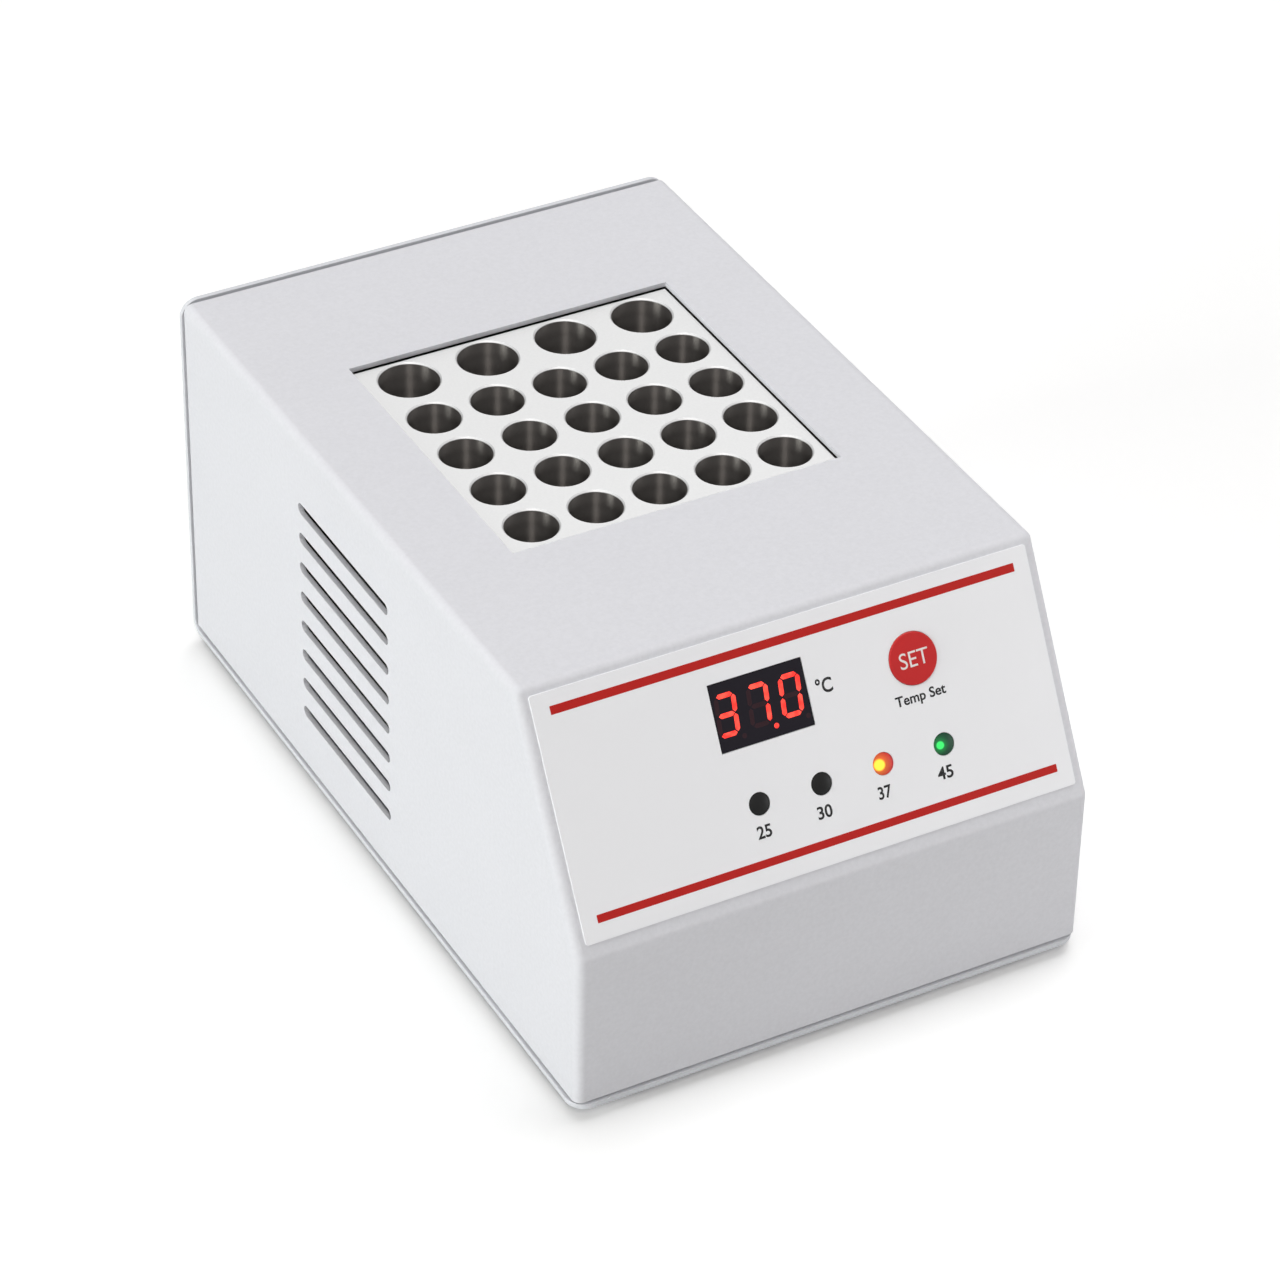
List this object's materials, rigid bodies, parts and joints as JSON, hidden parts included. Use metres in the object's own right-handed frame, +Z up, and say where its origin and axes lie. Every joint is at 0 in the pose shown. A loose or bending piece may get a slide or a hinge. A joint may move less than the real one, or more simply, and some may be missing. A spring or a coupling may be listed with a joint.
{
  "type": "dry block heater",
  "caption": "Bench heater with an aluminium tube block under an open window, a sloped front panel with display, key and lamps, and a mains inlet behind.",
  "frame": {"origin": "on the table, under the middle of the object's box", "axes": "+X to the user's right, +Y to the rear, +Z up"},
  "size_m": [0.1268, 0.2002, 0.0959],
  "materials": {
    "cover_paint": "fine-textured satin powder coat",
    "tray_paint": "satin powder coat",
    "label_film": "matt printed polyester film",
    "key_red": "satin moulded ABS",
    "display_black": "smooth black epoxy",
    "segment_resin": "clear resin, unlit",
    "segment_lit": "clear resin lit red from behind",
    "lens_dark": "smooth smoked lens",
    "lens_red": "smooth translucent lens",
    "lens_green": "smooth translucent lens",
    "block_aluminium": "bead-blasted and clear-anodised",
    "machined_aluminium": "machined",
    "zinc_steel": "bright zinc plate",
    "spring_steel": "drawn stainless",
    "lamination_steel": "stamped, varnished",
    "foot_rubber": "moulded",
    "silicone_mat": "smooth silicone",
    "fibre_board": "pressed mineral fibre",
    "foam_jacket": "closed-cell silicone foam",
    "cutout_ceramic": "unglazed",
    "board_laminate": "solder-masked glass laminate",
    "chip_epoxy": "moulded epoxy",
    "coil_wrap": "polyester tape",
    "capacitor_sleeve": "shrink sleeve",
    "relay_case": "moulded",
    "terminal_green": "moulded nylon",
    "socket_white": "moulded nylon",
    "inlet_plastic": "fine-eroded moulded nylon",
    "nickel_brass": "nickel-plated",
    "brass_stud": "turned",
    "fuse_glass": "clear glass tube with metal caps",
    "rocker_plastic": "polished moulding",
    "lead_black": "PVC sheath",
    "lead_earth": "PVC sheath",
    "lead_white": "silicone sleeve",
    "ribbon_grey": "PVC ribbon"
  },
  "bodies": {
    "housing": {"cover_shell": "cover_paint", "base_tray": "tray_paint", "rubber_feet": "foot_rubber", "foot_screws": "zinc_steel", "cover_brackets": "zinc_steel", "cover_screws": "zinc_steel", "heating_block": "block_aluminium", "heater_mat": "silicone_mat", "clamp_plate": "machined_aluminium", "floor_insulation": "fibre_board", "insulation_jacket": "foam_jacket", "block_posts": "zinc_steel", "post_screws": "zinc_steel", "temperature_sensor": "spring_steel", "thermal_cutout": "cutout_ceramic", "front_label": "label_film", "key_switch": "chip_epoxy", "display_module": "display_black", "segments_lit": "segment_lit", "segments_dark": "segment_resin", "control_board": "board_laminate", "panel_studs": "zinc_steel", "board_spacers": "socket_white", "m3_nuts": "zinc_steel", "control_chip": "chip_epoxy", "control_header": "chip_epoxy", "power_board": "board_laminate", "power_spacers": "socket_white", "power_screws": "zinc_steel", "transformer_core": "lamination_steel", "transformer_coil": "coil_wrap", "smoothing_capacitors": "capacitor_sleeve", "heater_relay": "relay_case", "terminal_block": "terminal_green", "board_sockets": "socket_white", "inlet_housing": "inlet_plastic", "inlet_blades": "nickel_brass", "inlet_screws": "zinc_steel", "fuse_contacts": "nickel_brass", "switch_housing": "inlet_plastic", "switch_tabs": "nickel_brass", "earth_stud": "brass_stud", "earth_nut": "brass_stud", "earth_ring": "nickel_brass", "inlet_leads": "lead_black", "switch_leads": "lead_black", "earth_lead": "lead_earth", "heater_leads": "lead_white", "sensor_lead": "lead_white", "ribbon_cable": "ribbon_grey", "lamp_25": "lens_dark", "lamp_30": "lens_dark", "lamp_37": "lens_red", "lamp_45": "lens_green"},
    "key": {"set_key": "key_red", "switch_plunger": "socket_white"},
    "rocker": {"power_rocker": "rocker_plastic"},
    "drawer": {"fuse_drawer": "inlet_plastic", "fuses": "fuse_glass"}
  },
  "joints": [
    {"name": "set_key_press", "type": "slide", "parent": "housing", "child": "key", "axis": [0, 0.8704, -0.4924], "range_m": [0, 0.0005], "stiffness_N_per_m": 1000, "springref_m": -0.0002},
    {"name": "power_rocker_tilt", "type": "hinge", "parent": "housing", "child": "rocker", "pos_m": [-0.028, 0.093, 0.031], "axis": [1, 0, 0], "range_deg": [-12, 0]},
    {"name": "fuse_drawer_slide", "type": "slide", "parent": "housing", "child": "drawer", "axis": [0, 1, 0], "range_m": [0, 0.02]}
  ]
}
